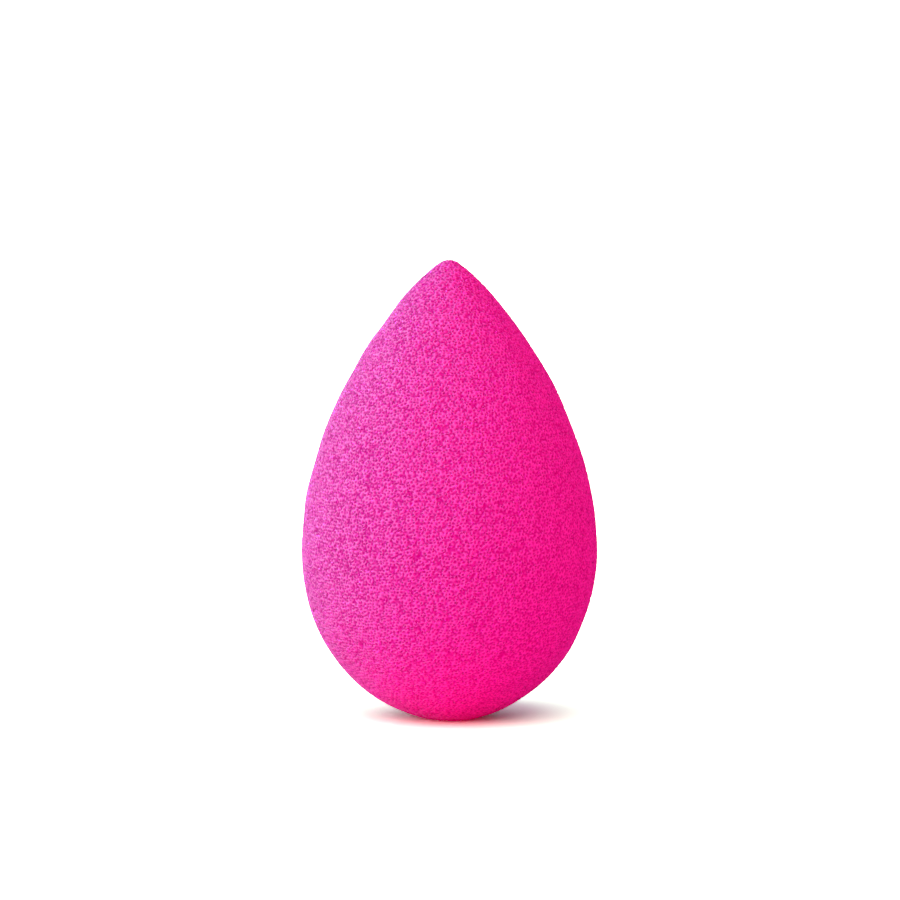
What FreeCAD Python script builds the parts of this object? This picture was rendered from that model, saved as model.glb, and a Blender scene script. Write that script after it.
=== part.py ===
import FreeCAD, Part
import math
import os

# Teardrop make-up sponge: one solid body of fine open-cell foam, round about +Z.
# Millimetres and degrees. The origin is the middle of the flat that the sponge stands on.

# Whole sponge
STANDING_HEIGHT = 62.4  # from the surface it stands on up to the tip
BELLY_DIAMETER = 40.0  # across the widest ring
BELLY_HEIGHT = 23.4  # of the widest ring above the surface

# Tip, the small round end for the corners of the eyes and nose
TIP_RADIUS = 2.2
TIP_HALF_ANGLE = 53.0  # between the flank and the axis where the flank leaves the tip

# Flank, from the tip down to the belly
FLANK_TIP_SHARE = 0.235  # how far the flank keeps the tip's slope, of the rise from belly to tip

# Base, from the belly down to the round end that dabs the cheeks
BASE_BELLY_SHARE = 0.75  # how far the base keeps upright below the belly, of the base's depth
BASE_POLE_SHARE = 0.3  # how far the round end keeps level beside the axis, of the belly's radius
SETTLE_DEPTH = 0.5  # soft foam gives by this much where the round end stands

# Working values
FULL_TURN = 360.0
CUT_OVERRUN = 1.0  # how far a cutting solid reaches past what it cuts


def on_axis(height):
    """Point of the turning axis at a height."""
    return FreeCAD.Vector(0, 0, height)


def off_axis(radius, height):
    """Point of the half section, which lies in the XZ plane."""
    return FreeCAD.Vector(radius, 0, height)


def bezier_edge(*poles):
    """Edge along one Bezier curve."""
    curve = Part.BezierCurve()
    curve.setPoles(list(poles))
    return curve.toShape()


def tip_point(angle):
    """Point of the tip's round, with its normal at an angle above level."""
    across = TIP_RADIUS * math.cos(math.radians(angle))
    above = TIP_RADIUS * math.sin(math.radians(angle))
    return off_axis(across, STANDING_HEIGHT - TIP_RADIUS + above)


def half_section():
    """Face between the axis and the sponge's outline, with a whole round end below."""
    belly_radius = BELLY_DIAMETER / 2
    pole_height = -SETTLE_DEPTH
    tip = on_axis(STANDING_HEIGHT)
    belly = off_axis(belly_radius, BELLY_HEIGHT)
    pole = on_axis(pole_height)

    # The tip's round meets the flank where both have the slope of the tip's half angle
    square_angle = FULL_TURN / 4
    flank_start = tip_point(TIP_HALF_ANGLE)
    tip_middle = tip_point((square_angle + TIP_HALF_ANGLE) / 2)
    tip_round = Part.Arc(tip, tip_middle, flank_start).toShape()

    # Base: upright at the belly, level at the pole
    base_reach = BASE_BELLY_SHARE * (BELLY_HEIGHT - pole_height)
    pole_reach = BASE_POLE_SHARE * belly_radius
    base = bezier_edge(
        belly,
        off_axis(belly_radius, BELLY_HEIGHT - base_reach),
        off_axis(pole_reach, pole_height),
        pole,
    )

    # Flank: leaves the tip along its slope, and its reach at the belly gives it the base's curvature there
    slope = math.radians(TIP_HALF_ANGLE)
    tip_reach = FLANK_TIP_SHARE * (flank_start.z - BELLY_HEIGHT)
    flank_guide = flank_start + off_axis(tip_reach * math.sin(slope), -tip_reach * math.cos(slope))
    inset_ratio = (belly_radius - flank_guide.x) / (belly_radius - pole_reach)
    flank_reach = base_reach * math.sqrt(inset_ratio)
    flank = bezier_edge(
        flank_start,
        flank_guide,
        off_axis(belly_radius, BELLY_HEIGHT + flank_reach),
        belly,
    )

    axis = Part.LineSegment(pole, tip).toShape()
    return Part.Face(Part.Wire([axis, tip_round, flank, base]))


def foam_body():
    """The half section turned about the axis, with the flat that the sponge stands on."""
    turned = half_section().revolve(on_axis(0), FreeCAD.Vector(0, 0, 1), FULL_TURN)
    ground_depth = SETTLE_DEPTH + CUT_OVERRUN
    ground = Part.makeCylinder(BELLY_DIAMETER, ground_depth, on_axis(-ground_depth))
    return turned.cut(ground)


os.makedirs("parts", exist_ok=True)
foam_body().exportStep("parts/foam_body.step")
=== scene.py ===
import math

import bmesh
import bpy
import numpy as np
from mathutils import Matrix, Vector


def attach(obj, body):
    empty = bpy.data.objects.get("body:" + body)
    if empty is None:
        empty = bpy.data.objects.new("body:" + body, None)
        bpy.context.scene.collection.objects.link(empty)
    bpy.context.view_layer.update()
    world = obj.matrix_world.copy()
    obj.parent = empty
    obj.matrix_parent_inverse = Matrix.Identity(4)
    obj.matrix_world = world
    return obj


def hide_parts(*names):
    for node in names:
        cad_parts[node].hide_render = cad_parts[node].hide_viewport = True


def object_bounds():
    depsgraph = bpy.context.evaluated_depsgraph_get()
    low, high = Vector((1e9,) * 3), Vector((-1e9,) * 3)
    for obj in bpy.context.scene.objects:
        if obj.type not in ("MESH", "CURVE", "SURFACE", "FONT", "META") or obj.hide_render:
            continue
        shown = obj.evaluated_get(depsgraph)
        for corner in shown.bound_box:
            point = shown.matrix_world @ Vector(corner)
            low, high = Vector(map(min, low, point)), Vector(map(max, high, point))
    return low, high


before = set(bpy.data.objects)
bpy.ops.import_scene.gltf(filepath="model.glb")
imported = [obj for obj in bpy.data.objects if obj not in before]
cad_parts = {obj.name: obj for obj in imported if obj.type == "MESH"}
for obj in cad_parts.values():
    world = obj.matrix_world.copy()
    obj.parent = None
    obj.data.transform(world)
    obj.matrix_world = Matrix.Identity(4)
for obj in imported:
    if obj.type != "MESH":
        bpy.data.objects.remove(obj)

# One make-up sponge: a teardrop of fine open-cell foam, modelled cell by cell over the CAD body.
# Metres, with +Z up, in the frame of the CAD model. Angles are in degrees.

CAD_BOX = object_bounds()
NODE = "foam_body"
BODY = "root"
SEED = 5

# Outline, read from the CAD body
LEVEL_DIGITS = 7  # heights that agree to this many digits are one level
OUTLINE_STEP = 0.0001
CREASE_ROUNDING = 0.0008  # stretch over which the outline's normal turns at the foot's edge

# Foam cells
CELL_SPACING = 0.00049  # from one pore to the next
ROW_SHARE = math.sqrt(3) / 2  # of the spacing, between rows of cells
SHIFT_SHARE = 0.45  # of the spacing, the most that a cell strays from its row
FEWEST_IN_ROW = 5
PORE_DEPTH = 0.0002
WALL_LIFT = 0.00013  # of the walls' tops above the CAD skin, which the pores' floors lie just below
SHALLOW_SHARE = 0.7  # of the depth, the shallowest pore
OPEN_WALL_SHARE = 0.7  # of the depth, the lowest wall between two pores
OPEN_WALL_POWER = 3  # higher leaves fewer low walls

# Unevenness left by grinding the foam to shape
UNEVEN_DEPTH = 0.00004
UNEVEN_SHORTEST = 0.005
UNEVEN_LONGEST = 0.013
UNEVEN_WAVES = 60

# Foam finish, with painted shade in the pores
WALL_COLOUR = (0.97, 0.012, 0.48, 1.0)
# painted shade: the pores' floors are darkened for the light lost inside them
PORE_SHADE_COLOUR = (0.62, 0.0, 0.25, 1.0)
PORE_FLOOR = 0.9  # share of the pores' depth from which their painted shade is at its deepest
MOTTLE_SIZE = 0.0016
MOTTLE_SHARE = 0.08  # of the way from the walls' colour to the pores' painted-shade colour, at the most
PIT_RELIEF = 0.00014  # added to the pores' depth in shading
GRAIN_SIZE = 0.00012
GRAIN_DETAIL = 2.0
GRAIN_DEPTH = 0.00003
FOAM_GLOSS = 0.085  # of the walls' tops; the pores' floors have none
ROUGHNESS_LEAST = 0.75
ROUGHNESS_MOST = 0.95

# Baking map: upright strips of the skin side by side
STRIPS = 6
STRIP_GAP_SHARE = 0.06  # of a strip's width

# View
CAMERA_ELEVATION = 5.0
CAMERA_DISTANCE = 0.7
FRAME_WIDTH = 0.1223  # what the picture's width shows at the sponge's axis
AIM_HEIGHT = 0.0366
AIM_ACROSS = 0.000085
SENSOR_WIDTH = 36.0  # millimetres, as cameras give it

# Light
SKY_LOW = (0.05, 0.05, 0.05, 1.0)  # light of the surroundings level with the sponge
SKY_HIGH = (0.65, 0.65, 0.8, 1.0)  # and overhead
SKY_SHOWN = (1.2, 1.2, 1.2, 1.0)  # the surroundings as the camera sees them

# Lamps on the sponge: level is about how bright they show a white surface that faces them
KEY_LAMP = dict(azimuth=58.0, elevation=28.0, spread=60.0, level=0.325, colour=(0.8, 1.0, 1.5))
FRONT_LAMP = dict(azimuth=0.0, elevation=14.0, spread=40.0, level=0.43, colour=(1.05, 0.82, 0.47))
FILL_LAMP = dict(azimuth=-55.0, elevation=10.0, spread=40.0, level=0.32, colour=(1.3, 0.62, 0.03))
BACK_LAMP = dict(azimuth=180.0, elevation=12.0, spread=60.0, level=0.4, colour=(1.0, 1.0, 1.0))
# Two more on the sponge, for gloss only, and strong because its gloss is faint
GLOSS_LAMP = dict(azimuth=86.0, elevation=5.0, spread=80.0, level=50.0, colour=(0.9, 1.0, 1.15))
HAZE_LAMP = dict(azimuth=58.0, elevation=36.0, spread=60.0, level=16.0, colour=(0.9, 1.0, 1.35))

# Floor, with a lamp of its own
FLOOR_LAMP = dict(azimuth=32.0, elevation=58.0, spread=90.0, level=0.8, colour=(1.0, 1.0, 1.0))
FLOOR_RADIUS = 40.0
FLOOR_SIDES = 64
FLOOR_BOUNCE_COLOUR = (0.63, 0.42, 0.54, 1.0)  # as other light sees it: dim and pale pink, standing in for light that the foam sends back onto itself
FLOOR_SHOWN = (1.7, 2.2, 1.68, 1.0)  # the floor's colour as the camera sees it
GLOW_COLOUR = (0.8, 0.05, 0.2, 1.0)  # of the light that the floor sends up to the sponge's foot
GLOW_PLACE = (-0.006, -0.02, 0.0)
GLOW_REACH = 0.028


def outline_of(node):
    """Distances along the turned body's outline from the foot's middle to the tip, with radii and heights."""
    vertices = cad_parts[node].data.vertices
    points = np.empty(len(vertices) * 3)
    vertices.foreach_get("co", points)
    x, y, z = points.reshape(-1, 3).T
    levels, first = np.unique(z.round(LEVEL_DIGITS), return_index=True)
    radius = np.append(0.0, np.hypot(x, y)[first])
    height = np.append(levels[0], levels)
    along = np.append(0.0, np.cumsum(np.hypot(np.diff(radius), np.diff(height))))
    even = np.linspace(0.0, along[-1], int(along[-1] / OUTLINE_STEP))
    return even, np.interp(even, along, radius), np.interp(even, along, height)


def skin_points(outline, along, turn):
    """Points of the body's skin and their outward normals, by distance along the outline and turn."""
    even, radius, height = outline
    window = np.ones(int(CREASE_ROUNDING / OUTLINE_STEP))
    window /= window.sum()
    rise = np.convolve(np.gradient(height, even), window, "same")
    flare = np.convolve(np.gradient(radius, even), window, "same")
    out = np.interp(along, even, rise)
    up = -np.interp(along, even, flare)
    length = np.hypot(out, up)
    r = np.interp(along, even, radius)
    points = np.stack([r * np.cos(turn), r * np.sin(turn), np.interp(along, even, height)], 1)
    normals = np.stack([out * np.cos(turn), out * np.sin(turn), up], 1) / length[:, None]
    return points, normals


def cell_rows(outline):
    """Rows of cell centres round the body, from the foot to the tip: distance along the outline and turns."""
    even, radius, _ = outline
    count = round(even[-1] / (CELL_SPACING * ROW_SHARE))
    rows = []
    for k in range(count + 1):
        along = even[-1] * k / count
        round_length = 2 * math.pi * float(np.interp(along, even, radius))
        number = max(FEWEST_IN_ROW, round(round_length / CELL_SPACING))
        if k in (0, count):
            number = 1
        start = draw.random()
        turns = (start + np.arange(number)) * 2 * math.pi / number
        rows.append((along, turns))
    return rows


def row_triangles(rows):
    """Triangles between each row of cell centres and the next, facing outwards."""
    triangles = []
    first = 0
    for (_, low), (_, high) in zip(rows, rows[1:]):
        above = first + len(low)
        i = j = 0
        while i < len(low) or j < len(high):
            low_next = low[0] + (i + 1) * 2 * math.pi / len(low)
            high_next = high[0] + (j + 1) * 2 * math.pi / len(high)
            a = first + i % len(low)
            b = above + j % len(high)
            if j == len(high) or (i < len(low) and low_next <= high_next):
                i += 1
                if len(low) > 1:
                    triangles.append((a, first + i % len(low), b))
            else:
                j += 1
                if len(high) > 1:
                    triangles.append((a, above + j % len(high), b))
        first = above
    return triangles


def stray(rows, outline):
    """Distance along the outline and turn of each cell centre, shifted at random from its row."""
    even, radius, _ = outline
    along = np.concatenate([np.full(len(turns), row_along) for row_along, turns in rows])
    turn = np.concatenate([turns for _, turns in rows])
    reach = CELL_SPACING * SHIFT_SHARE * np.sqrt(draw.random(len(along)))
    heading = 2 * math.pi * draw.random(len(along))
    reach[[0, -1]] = 0.0
    r = np.interp(along, even, radius).clip(CELL_SPACING)
    return along + reach * np.sin(heading), turn + reach * np.cos(heading) / r


def fairest_triangles(points, triangles):
    """The same cell centres joined by the triangles nearest to even ones."""
    mesh = bpy.data.meshes.new("cells")
    mesh.from_pydata(points.tolist(), [], triangles)
    work = bmesh.new()
    work.from_mesh(mesh)
    bmesh.ops.beautify_fill(work, faces=work.faces[:], edges=work.edges[:])
    work.to_mesh(mesh)
    work.free()
    corners = np.empty(len(mesh.loops), np.int32)
    mesh.loops.foreach_get("vertex_index", corners)
    bpy.data.meshes.remove(mesh)
    return corners.reshape(-1, 3)


def cell_walls(triangles, cells):
    """Triangles from each cell's centre to its walls, which run between the middles of two triangles."""
    start = triangles.ravel().astype(np.int64)
    end = np.roll(triangles, -1, axis=1).ravel().astype(np.int64)
    face = np.repeat(np.arange(len(triangles)), 3)
    key = start * cells + end
    order = np.argsort(key)
    across = face[order[np.searchsorted(key[order], end * cells + start)]]
    once = start < end
    start, end, left, right = start[once], end[once], cells + face[once], cells + across[once]
    return np.concatenate([np.stack([start, right, left], 1), np.stack([end, left, right], 1)])


def unevenness(points):
    """Gentle random swelling and hollowing, about zero, as a sum of plane waves."""
    total = np.zeros(len(points))
    for _ in range(UNEVEN_WAVES):
        heading = draw.normal(size=3)
        heading /= np.linalg.norm(heading)
        length = draw.uniform(UNEVEN_SHORTEST, UNEVEN_LONGEST)
        total += np.cos(points @ heading * 2 * math.pi / length + draw.uniform(0, 2 * math.pi))
    return total * UNEVEN_DEPTH * math.sqrt(2 / UNEVEN_WAVES)


def strip_map(mesh, outline):
    """Map of the skin, with its strips side by side, each as wide as the skin is round."""
    even, radius, height = outline
    places = np.empty(len(mesh.vertices) * 3)
    mesh.vertices.foreach_get("co", places)
    places = places.reshape(-1, 3)
    corners = np.empty(len(mesh.loops), np.int32)
    mesh.loops.foreach_get("vertex_index", corners)
    corner_places = places[corners]
    middles = corner_places.reshape(-1, 3, 3).mean(1)
    strip_turn = 2 * math.pi / STRIPS
    strip = np.floor(np.arctan2(middles[:, 1], middles[:, 0]) % (2 * math.pi) / strip_turn)
    strip = np.repeat(strip.clip(0, STRIPS - 1), 3)
    turn = np.arctan2(corner_places[:, 1], corner_places[:, 0])
    offset = (turn - (strip + 0.5) * strip_turn + math.pi) % (2 * math.pi) - math.pi
    r = np.hypot(corner_places[:, 0], corner_places[:, 1])
    flat = corner_places[:, 2] <= height[0] + OUTLINE_STEP
    along = np.interp(corner_places[:, 2], height[height > height[0]], even[height > height[0]])
    along = np.where(flat, r, along)
    width = radius.max() * strip_turn * (1 + STRIP_GAP_SHARE)
    across = (strip + 0.5) * width + r * offset
    layer = mesh.uv_layers.new(name="OFBake")
    layer.uv.foreach_set("vector", (np.stack([across, along], 1) / (width * STRIPS)).ravel())


def foam_piece():
    """The foam: a pit at each cell's centre, its walls at the skin, and the whole a little uneven."""
    outline = outline_of(NODE)
    rows = cell_rows(outline)
    along, turn = stray(rows, outline)
    centres, centre_normals = skin_points(outline, along, turn)
    triangles = fairest_triangles(centres, row_triangles(rows))
    points = np.concatenate([centres, centres[triangles].mean(1)])
    normals = np.concatenate([centre_normals, centre_normals[triangles].mean(1)])
    pore = np.concatenate([
        draw.uniform(SHALLOW_SHARE, 1.0, len(centres)),
        OPEN_WALL_SHARE * draw.random(len(triangles)) ** OPEN_WALL_POWER,
    ])
    points = points + normals * (WALL_LIFT + unevenness(points) - PORE_DEPTH * pore)[:, None]
    points[:, 2] = points[:, 2].clip(CAD_BOX[0][2])
    mesh = bpy.data.meshes.new("sponge_foam")
    mesh.from_pydata(points.tolist(), [], cell_walls(triangles, len(centres)).tolist())
    mesh.shade_smooth()
    mesh.attributes.new("pore", "FLOAT", "POINT").data.foreach_set("value", pore.astype(np.float32))
    strip_map(mesh, outline)
    piece = bpy.data.objects.new("sponge_foam", mesh)
    bpy.context.collection.objects.link(piece)
    mesh.materials.append(foam_material())
    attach(piece, BODY)
    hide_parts(NODE)
    return piece


def foam_material():
    """Dyed foam: bright walls with a trace of gloss, dull pores painted darker as shade, fine grit and
    mottling.
    """
    material = bpy.data.materials.new("pink foam")
    material.use_nodes = True
    nodes = material.node_tree.nodes
    link = material.node_tree.links.new
    shader = nodes["Principled BSDF"]

    pore = nodes.new("ShaderNodeAttribute")
    pore.attribute_name = "pore"
    depth = nodes.new("ShaderNodeMapRange")
    depth.interpolation_type = "SMOOTHSTEP"
    depth.inputs["From Max"].default_value = PORE_FLOOR
    link(pore.outputs["Fac"], depth.inputs["Value"])

    place = nodes.new("ShaderNodeTexCoord")
    colour = nodes.new("ShaderNodeMix")
    colour.data_type = "RGBA"
    colour.inputs["A"].default_value = WALL_COLOUR
    colour.inputs["B"].default_value = PORE_SHADE_COLOUR
    mottle = nodes.new("ShaderNodeTexNoise")
    mottle.inputs["Scale"].default_value = 1 / MOTTLE_SIZE
    link(place.outputs["Object"], mottle.inputs["Vector"])
    # painted shade: colour darkens with depth in the pores, with random mottling on top
    shade_and_mottle = nodes.new("ShaderNodeMath")
    shade_and_mottle.operation = "MULTIPLY_ADD"
    shade_and_mottle.use_clamp = True
    shade_and_mottle.inputs[1].default_value = MOTTLE_SHARE
    link(mottle.outputs["Fac"], shade_and_mottle.inputs[0])
    link(depth.outputs["Result"], shade_and_mottle.inputs[2])
    link(shade_and_mottle.outputs["Value"], colour.inputs["Factor"])
    link(colour.outputs["Result"], shader.inputs["Base Color"])

    gloss = nodes.new("ShaderNodeMapRange")
    gloss.inputs["To Min"].default_value = FOAM_GLOSS
    gloss.inputs["To Max"].default_value = 0.0
    link(depth.outputs["Result"], gloss.inputs["Value"])
    link(gloss.outputs["Result"], shader.inputs["Specular IOR Level"])

    grain = nodes.new("ShaderNodeTexNoise")
    grain.inputs["Scale"].default_value = 1 / GRAIN_SIZE
    grain.inputs["Detail"].default_value = GRAIN_DETAIL
    link(place.outputs["Object"], grain.inputs["Vector"])
    rough = nodes.new("ShaderNodeMapRange")
    rough.inputs["To Min"].default_value = ROUGHNESS_LEAST
    rough.inputs["To Max"].default_value = ROUGHNESS_MOST
    link(grain.outputs["Fac"], rough.inputs["Value"])
    dull = nodes.new("ShaderNodeMix")
    dull.inputs["B"].default_value = 1.0
    link(depth.outputs["Result"], dull.inputs["Factor"])
    link(rough.outputs["Result"], dull.inputs["A"])
    link(dull.outputs["Result"], shader.inputs["Roughness"])

    grit = nodes.new("ShaderNodeBump")
    grit.inputs["Distance"].default_value = GRAIN_DEPTH
    link(grain.outputs["Fac"], grit.inputs["Height"])
    pits = nodes.new("ShaderNodeBump")
    pits.invert = True
    pits.inputs["Distance"].default_value = PIT_RELIEF
    link(depth.outputs["Result"], pits.inputs["Height"])
    link(grit.outputs["Normal"], pits.inputs["Normal"])
    link(pits.outputs["Normal"], shader.inputs["Normal"])
    return material


def floor_piece():
    """Floor, white to the camera and pale pink to other light as a stand-in for light that the foam sends
    back, that keeps the sponge's shadow and glows softly towards its foot.
    """
    mesh = bpy.data.meshes.new("floor")
    work = bmesh.new()
    bmesh.ops.create_circle(work, cap_ends=True, radius=FLOOR_RADIUS, segments=FLOOR_SIDES)
    work.to_mesh(mesh)
    work.free()
    floor = bpy.data.objects.new("floor", mesh)
    floor.location.z = CAD_BOX[0][2]
    bpy.context.collection.objects.link(floor)
    material = bpy.data.materials.new("floor")
    material.use_nodes = True
    nodes = material.node_tree.nodes
    link = material.node_tree.links.new
    nodes.remove(nodes["Principled BSDF"])
    # painted light: to all light but the camera's the floor is pink, standing in for the foam's own bounced
    # light
    bounce = nodes.new("ShaderNodeBsdfDiffuse")
    bounce.inputs["Color"].default_value = FLOOR_BOUNCE_COLOUR
    shown = nodes.new("ShaderNodeBsdfDiffuse")
    shown.inputs["Color"].default_value = FLOOR_SHOWN
    either = nodes.new("ShaderNodeMixShader")
    link(seen_directly(material.node_tree), either.inputs["Fac"])
    place = nodes.new("ShaderNodeTexCoord")
    away = nodes.new("ShaderNodeVectorMath")
    away.operation = "DISTANCE"
    away.inputs[1].default_value = GLOW_PLACE
    fade = nodes.new("ShaderNodeMapRange")
    fade.interpolation_type = "SMOOTHSTEP"
    fade.inputs["From Min"].default_value = GLOW_REACH
    fade.inputs["From Max"].default_value = 0.0
    glow = nodes.new("ShaderNodeEmission")
    glow.inputs["Color"].default_value = GLOW_COLOUR
    link(place.outputs["Object"], away.inputs[0])
    link(away.outputs["Value"], fade.inputs["Value"])
    link(fade.outputs["Result"], glow.inputs["Strength"])
    lit = nodes.new("ShaderNodeAddShader")
    link(bounce.outputs["BSDF"], lit.inputs[0])
    link(glow.outputs["Emission"], lit.inputs[1])
    link(lit.outputs["Shader"], either.inputs[1])
    link(shown.outputs["BSDF"], either.inputs[2])
    link(either.outputs["Shader"], nodes["Material Output"].inputs["Surface"])
    mesh.materials.append(material)
    return floor


def seen_directly(tree):
    """Socket that is 1 where the camera sees a surface, also by gloss or through glass, and otherwise 0."""
    path = tree.nodes.new("ShaderNodeLightPath")
    socket = path.outputs["Is Camera Ray"]
    for way in ("Is Glossy Ray", "Is Transmission Ray"):
        either = tree.nodes.new("ShaderNodeMath")
        either.operation = "MAXIMUM"
        tree.links.new(socket, either.inputs[0])
        tree.links.new(path.outputs[way], either.inputs[1])
        socket = either.outputs["Value"]
    return socket


def add_lamp(name, piece, azimuth, elevation, spread, level, colour):
    """Soft distant lamp for one piece. Azimuth is to the camera's left, and level 1 shows white as white."""
    lamp = bpy.data.lights.new(name, "SUN")
    lamp.color = colour
    lamp.angle = math.radians(spread)
    lamp.energy = level * math.pi
    left, up = math.radians(azimuth), math.radians(elevation)
    way = Vector((-math.sin(left) * math.cos(up), -math.cos(left) * math.cos(up), math.sin(up)))
    holder = bpy.data.objects.new(name, lamp)
    holder.location = way
    holder.rotation_euler = (-way).to_track_quat("-Z", "Y").to_euler()
    bpy.context.collection.objects.link(holder)
    lit = bpy.data.collections.new(name)
    lit.objects.link(piece)
    holder.light_linking.receiver_collection = lit
    return holder


def light_scene(sponge, floor):
    """White surroundings, soft lamps round the sponge, two for its gloss only and one for the floor only."""
    world = bpy.data.worlds.new("white studio")
    world.use_nodes = True
    background = world.node_tree.nodes["Background"]
    nodes = world.node_tree.nodes
    link = world.node_tree.links.new
    way = nodes.new("ShaderNodeTexCoord")
    part = nodes.new("ShaderNodeSeparateXYZ")
    sky = nodes.new("ShaderNodeMix")
    sky.data_type = "RGBA"
    sky.inputs["A"].default_value = SKY_LOW
    sky.inputs["B"].default_value = SKY_HIGH
    either = nodes.new("ShaderNodeMix")
    either.data_type = "RGBA"
    either.inputs["B"].default_value = SKY_SHOWN
    link(way.outputs["Generated"], part.inputs["Vector"])
    link(part.outputs["Z"], sky.inputs["Factor"])
    link(seen_directly(world.node_tree), either.inputs["Factor"])
    link(sky.outputs["Result"], either.inputs["A"])
    link(either.outputs["Result"], background.inputs["Color"])
    bpy.context.scene.world = world
    add_lamp("key", sponge, **KEY_LAMP)
    add_lamp("front", sponge, **FRONT_LAMP)
    add_lamp("fill", sponge, **FILL_LAMP)
    add_lamp("back", sponge, **BACK_LAMP)
    add_lamp("gloss", sponge, **GLOSS_LAMP).visible_diffuse = False
    add_lamp("haze", sponge, **HAZE_LAMP).visible_diffuse = False
    add_lamp("overhead", floor, **FLOOR_LAMP)


def place_camera():
    """Long lens a little above the sponge, looking along +Y."""
    lens = bpy.data.cameras.new("camera")
    lens.sensor_width = SENSOR_WIDTH
    lens.lens = SENSOR_WIDTH * CAMERA_DISTANCE / FRAME_WIDTH
    camera = bpy.data.objects.new("camera", lens)
    tilt = math.radians(CAMERA_ELEVATION)
    aim = Vector((AIM_ACROSS, 0.0, AIM_HEIGHT))
    camera.location = aim + CAMERA_DISTANCE * Vector((0.0, -math.cos(tilt), math.sin(tilt)))
    camera.rotation_euler = (aim - camera.location).to_track_quat("-Z", "Y").to_euler()
    bpy.context.collection.objects.link(camera)
    bpy.context.scene.camera = camera


draw = np.random.default_rng(SEED)
bpy.context.scene.view_settings.view_transform = "Standard"
light_scene(foam_piece(), floor_piece())
place_camera()
